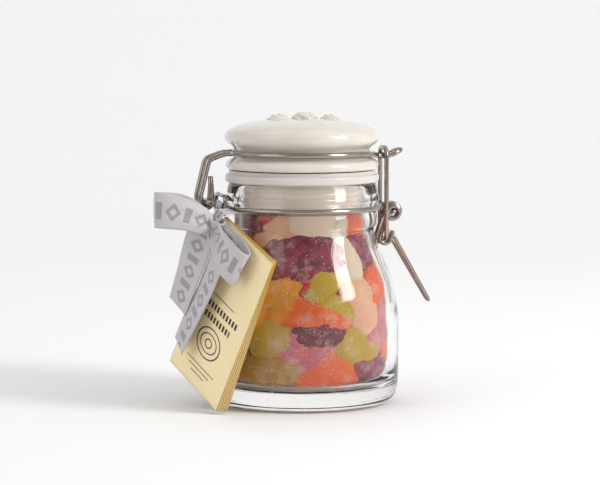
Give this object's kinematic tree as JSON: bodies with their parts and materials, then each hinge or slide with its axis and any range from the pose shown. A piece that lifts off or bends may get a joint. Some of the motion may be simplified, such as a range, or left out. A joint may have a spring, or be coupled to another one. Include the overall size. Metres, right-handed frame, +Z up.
{
  "type": "jar of fruit jellies",
  "caption": "Clip-top glass preserving jar with a domed ceramic lid, wire bail and latch, filled with sugared fruit jellies, with a card tag tied on by a ribbon bow.",
  "frame": {"origin": "centre of the flat base", "axes": "+Z up along the jar's axis, +X towards the latch, -X towards the lid's hinge"},
  "size_m": [0.1243, 0.0945, 0.1254],
  "materials": {
    "glass": "clear pressed glass, polished",
    "wire": "drawn stainless wire, bright",
    "jelly": "fruit jelly rolled in sugar",
    "card": "matt pale yellow card",
    "ribbon": "grosgrain ribbon with fine cross ribs",
    "ceramic": "cream glaze",
    "seal": "cloudy white silicone"
  },
  "bodies": {
    "jar": {"glass_jar": "glass", "neck_wire": "wire", "jelly_heap": "jelly", "tag_card_1": "card", "tag_card_2": "card", "tag_card_3": "card", "tag_card_4": "card", "tag_card_5": "card", "ribbon": "ribbon"},
    "lid": {"ceramic_lid": "ceramic", "gasket": "seal", "lid_wire": "wire"},
    "lever": {"lever_wire": "wire"},
    "link": {"link_wire": "wire"}
  },
  "joints": [
    {"name": "lid_hinge", "type": "hinge", "parent": "jar", "child": "lid", "pos_m": [-0.0426, 0, 0.0876], "axis": [0, -1, 0], "range_deg": [0, 95]},
    {"name": "latch_lever", "type": "hinge", "parent": "jar", "child": "lever", "pos_m": [0.0398, 0, 0.082], "axis": [0, -1, 0], "range_deg": [0, 90]},
    {"name": "latch_link", "type": "hinge", "parent": "lever", "child": "link", "pos_m": [0.036, 0, 0.0706], "axis": [0, -1, 0], "range_deg": [-70, 0]}
  ],
  "couplings": [
    {"joint": "latch_link", "follows": "latch_lever", "ratio": -0.75}
  ]
}
